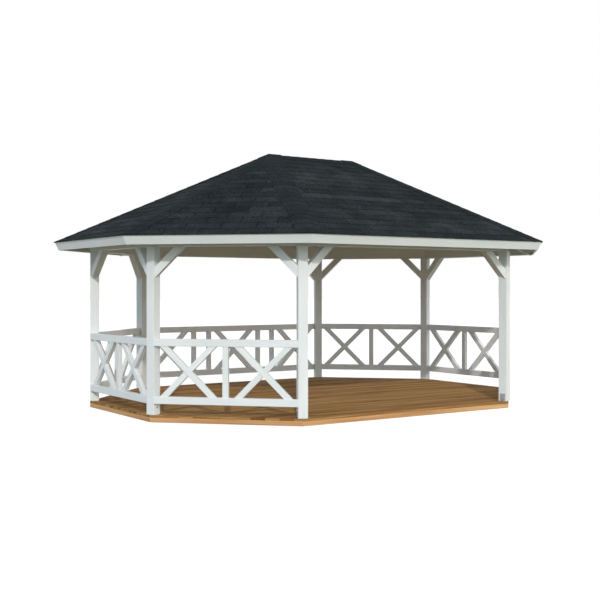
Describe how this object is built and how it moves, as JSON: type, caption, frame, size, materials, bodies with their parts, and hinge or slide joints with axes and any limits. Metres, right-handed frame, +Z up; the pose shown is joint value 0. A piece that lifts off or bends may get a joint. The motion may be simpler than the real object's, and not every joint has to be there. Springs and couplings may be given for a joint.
{
  "type": "garden gazebo",
  "caption": "Open timber garden gazebo: stretched octagonal board floor, square posts, crossed-bar railings, one open side and a hipped roof with shingles.",
  "frame": {"origin": "centre of the footprint, on the ground", "axes": "+X along the ridge to the right end, +Y to the rear railing, away from the open side, +Z up"},
  "size_m": [6.7722, 5.3372, 3.4414],
  "materials": {
    "white_paint": "white opaque paint on planed softwood, satin",
    "floor_wood": "brown stained softwood boards, matt",
    "roof_boards": "white paint on matched spruce boards, satin",
    "zinc_steel": "hot-dip galvanised, dull",
    "shingles": "anthracite bitumen shingles with mineral granules"
  },
  "bodies": {
    "root": {"floor_frame": "floor_wood", "floor_boards": "floor_wood", "post_shoes": "zinc_steel", "post_front_left": "white_paint", "post_front_right": "white_paint", "post_right_front": "white_paint", "post_right_rear": "white_paint", "post_rear_right": "white_paint", "post_rear_left": "white_paint", "post_left_rear": "white_paint", "post_left_front": "white_paint", "railing_front_right": "white_paint", "railing_right": "white_paint", "railing_rear_right": "white_paint", "railing_rear": "white_paint", "railing_rear_left": "white_paint", "railing_left": "white_paint", "railing_front_left": "white_paint", "knee_braces": "white_paint", "long_and_end_beams": "white_paint", "corner_beams": "white_paint", "ridge_beam": "white_paint", "hip_rafters": "white_paint", "common_rafters": "white_paint", "fascia_front": "white_paint", "fascia_front_right": "white_paint", "fascia_right": "white_paint", "fascia_rear_right": "white_paint", "fascia_rear": "white_paint", "fascia_rear_left": "white_paint", "fascia_left": "white_paint", "fascia_front_left": "white_paint", "roof_front": "roof_boards", "roof_front_right": "roof_boards", "roof_right": "roof_boards", "roof_rear_right": "roof_boards", "roof_rear": "roof_boards", "roof_rear_left": "roof_boards", "roof_left": "roof_boards", "roof_front_left": "roof_boards", "shingle_covering": "shingles"}
  },
  "joints": []
}
